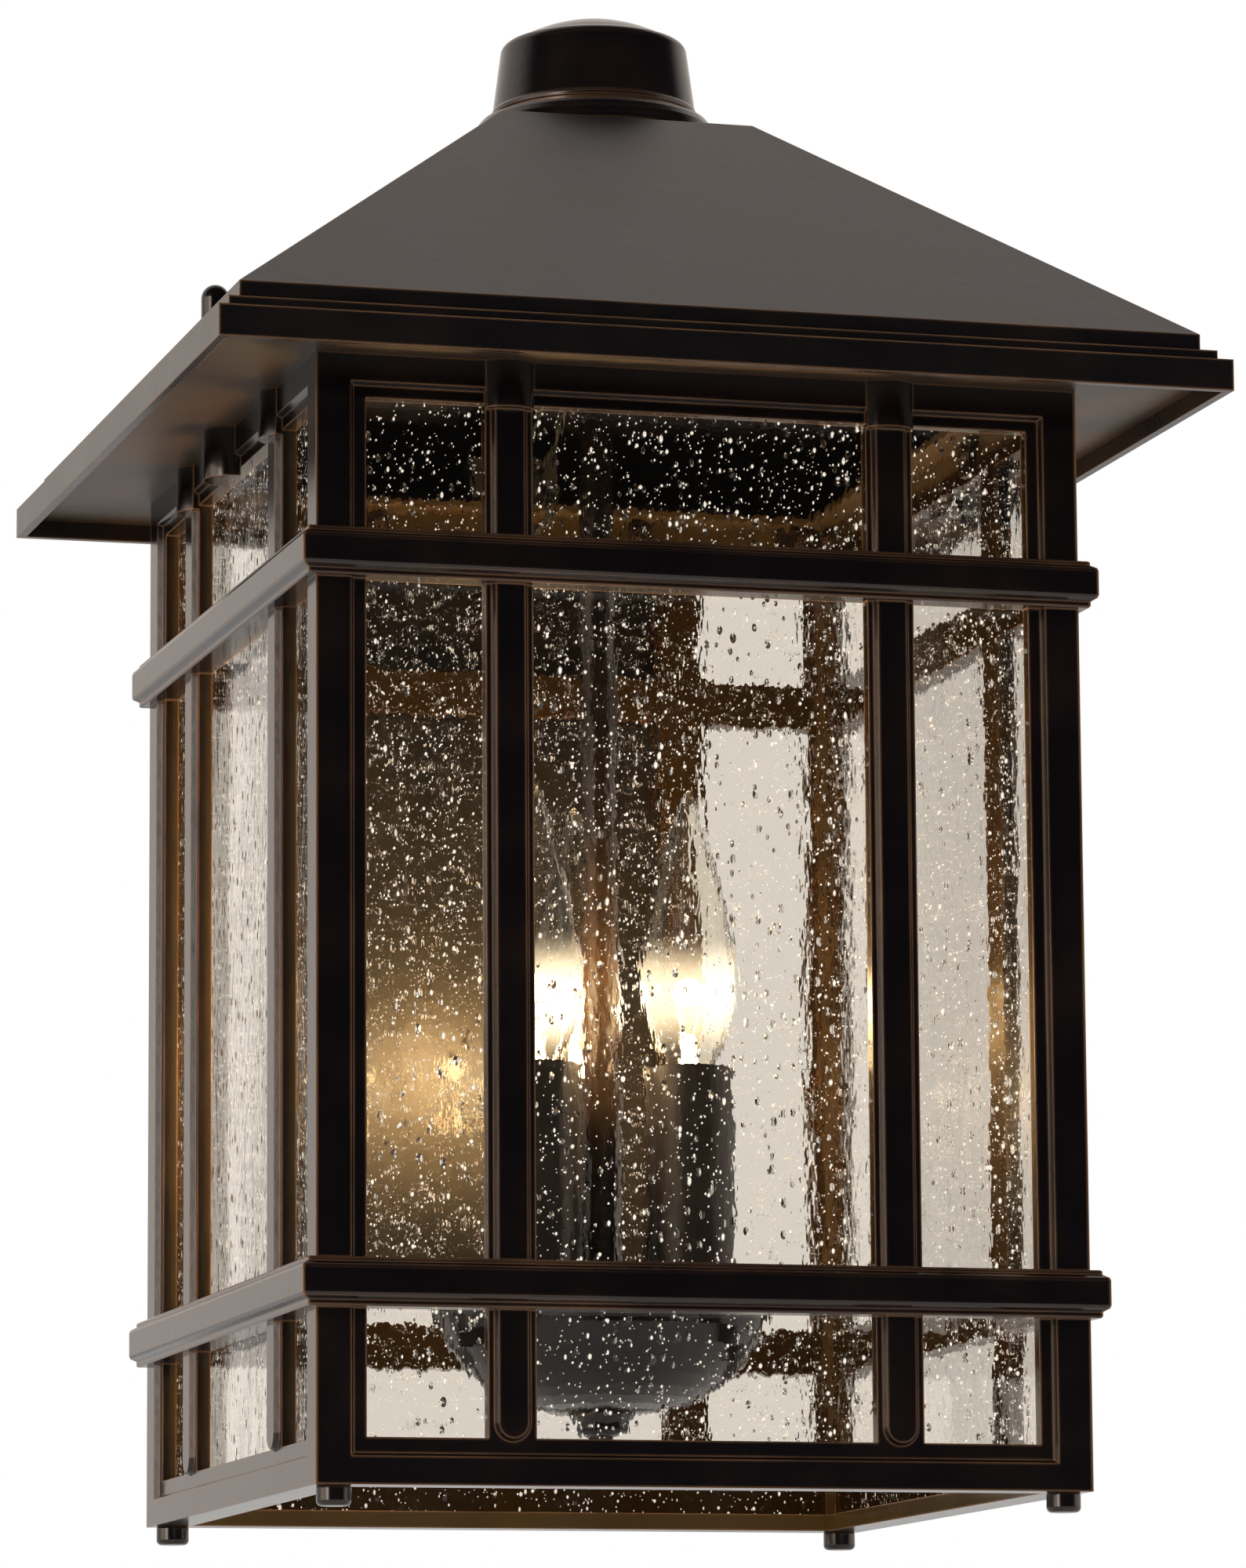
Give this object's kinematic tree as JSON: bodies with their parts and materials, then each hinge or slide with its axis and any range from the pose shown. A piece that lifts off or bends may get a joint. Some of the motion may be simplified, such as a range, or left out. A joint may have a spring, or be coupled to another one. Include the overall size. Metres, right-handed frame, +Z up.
{
  "type": "outdoor wall lantern",
  "caption": "Square wall lantern: cast bronze frames round seeded glass, stepped hip roof with round cap, hanging candle cluster, and a tall wall plate behind.",
  "frame": {"origin": "middle of the mounting strap's back face, on the wall plane, which is the middle of the wall plate", "axes": "+Z up, +Y into the wall, so the lantern stands off towards -Y; +X to the right of a viewer who faces the wall"},
  "size_m": [0.279, 0.2895, 0.4281],
  "materials": {
    "bronze": "oil-rubbed bronze enamel, glossy, rubbed through to copper brown along its edges",
    "satin_bronze": "the same bronze enamel, satin, on the roof, its soffit and the wall plate",
    "seeded_glass": "clear seeded glass with many small bubbles and a wavy face",
    "bulb_glass": "clear thin glass",
    "filament": "glowing filament on its glass mount",
    "zinc": "zinc-plated steel",
    "brass": "plain brass",
    "green_screw": "green-dyed steel",
    "phenolic": "black phenolic",
    "sleeve": "dark bronze candle sleeve, satin",
    "foam": "closed-cell foam",
    "lead_jacket": "high-temperature lead jacket",
    "nylon": "pale nylon"
  },
  "bodies": {
    "root": {"spacers": "bronze", "side_screws": "bronze", "front_frame": "bronze", "back_frame": "bronze", "left_frame": "bronze", "right_frame": "bronze", "feet": "bronze", "wall_plate": "satin_bronze", "glass_front": "seeded_glass", "glass_back": "seeded_glass", "glass_left": "seeded_glass", "glass_right": "seeded_glass", "mounting_strap": "zinc", "spacer_screws": "zinc", "corner_cleats": "zinc", "cleat_screws": "zinc", "glass_clips": "zinc", "clip_screws": "zinc", "roof_studs": "brass", "ground_screw": "green_screw", "wire_bush": "phenolic", "plate_gasket": "foam", "supply_wires": "lead_jacket"},
    "left_knob": {"left_knob": "bronze"},
    "right_knob": {"right_knob": "bronze"},
    "right_bulb": {"bulb_right_glass": "bulb_glass", "bulb_right_base": "brass", "bulb_right_filament": "filament"},
    "back_bulb": {"bulb_back_glass": "bulb_glass", "bulb_back_base": "brass", "bulb_back_filament": "filament"},
    "left_bulb": {"bulb_left_glass": "bulb_glass", "bulb_left_base": "brass", "bulb_left_filament": "filament"},
    "roof": {"roof_shell": "satin_bronze", "soffit_plate": "satin_bronze", "knob_washers": "bronze", "cap_flange": "bronze", "roof_cap": "bronze", "centre_rod": "bronze", "rod_nuts": "zinc", "cluster_bowl": "bronze", "bowl_cover": "bronze", "stem_finial": "bronze", "socket_tubes": "zinc", "socket_nuts": "zinc", "sockets": "phenolic", "contact_tabs": "brass", "candle_sleeves": "sleeve", "cluster_wires": "lead_jacket", "terminal_block": "nylon"}
  },
  "joints": [
    {"name": "roof_lift", "type": "slide", "parent": "root", "child": "roof", "axis": [0, 0, 1], "range_m": [0, 0.15], "deforming": ["supply_wires"]},
    {"name": "left_knob_turn", "type": "hinge", "parent": "roof", "child": "left_knob", "pos_m": [-0.11, -0.15, 0.14], "axis": [0, 0, 1], "continuous": true},
    {"name": "right_knob_turn", "type": "hinge", "parent": "roof", "child": "right_knob", "pos_m": [0.11, -0.15, 0.14], "axis": [0, 0, 1], "continuous": true},
    {"name": "right_bulb_turn", "type": "hinge", "parent": "roof", "child": "right_bulb", "pos_m": [0.022, -0.1627, 0], "axis": [0, 0, 1], "continuous": true},
    {"name": "back_bulb_turn", "type": "hinge", "parent": "roof", "child": "back_bulb", "pos_m": [0, -0.1246, 0], "axis": [0, 0, 1], "continuous": true},
    {"name": "left_bulb_turn", "type": "hinge", "parent": "roof", "child": "left_bulb", "pos_m": [-0.022, -0.1627, 0], "axis": [0, 0, 1], "continuous": true}
  ]
}
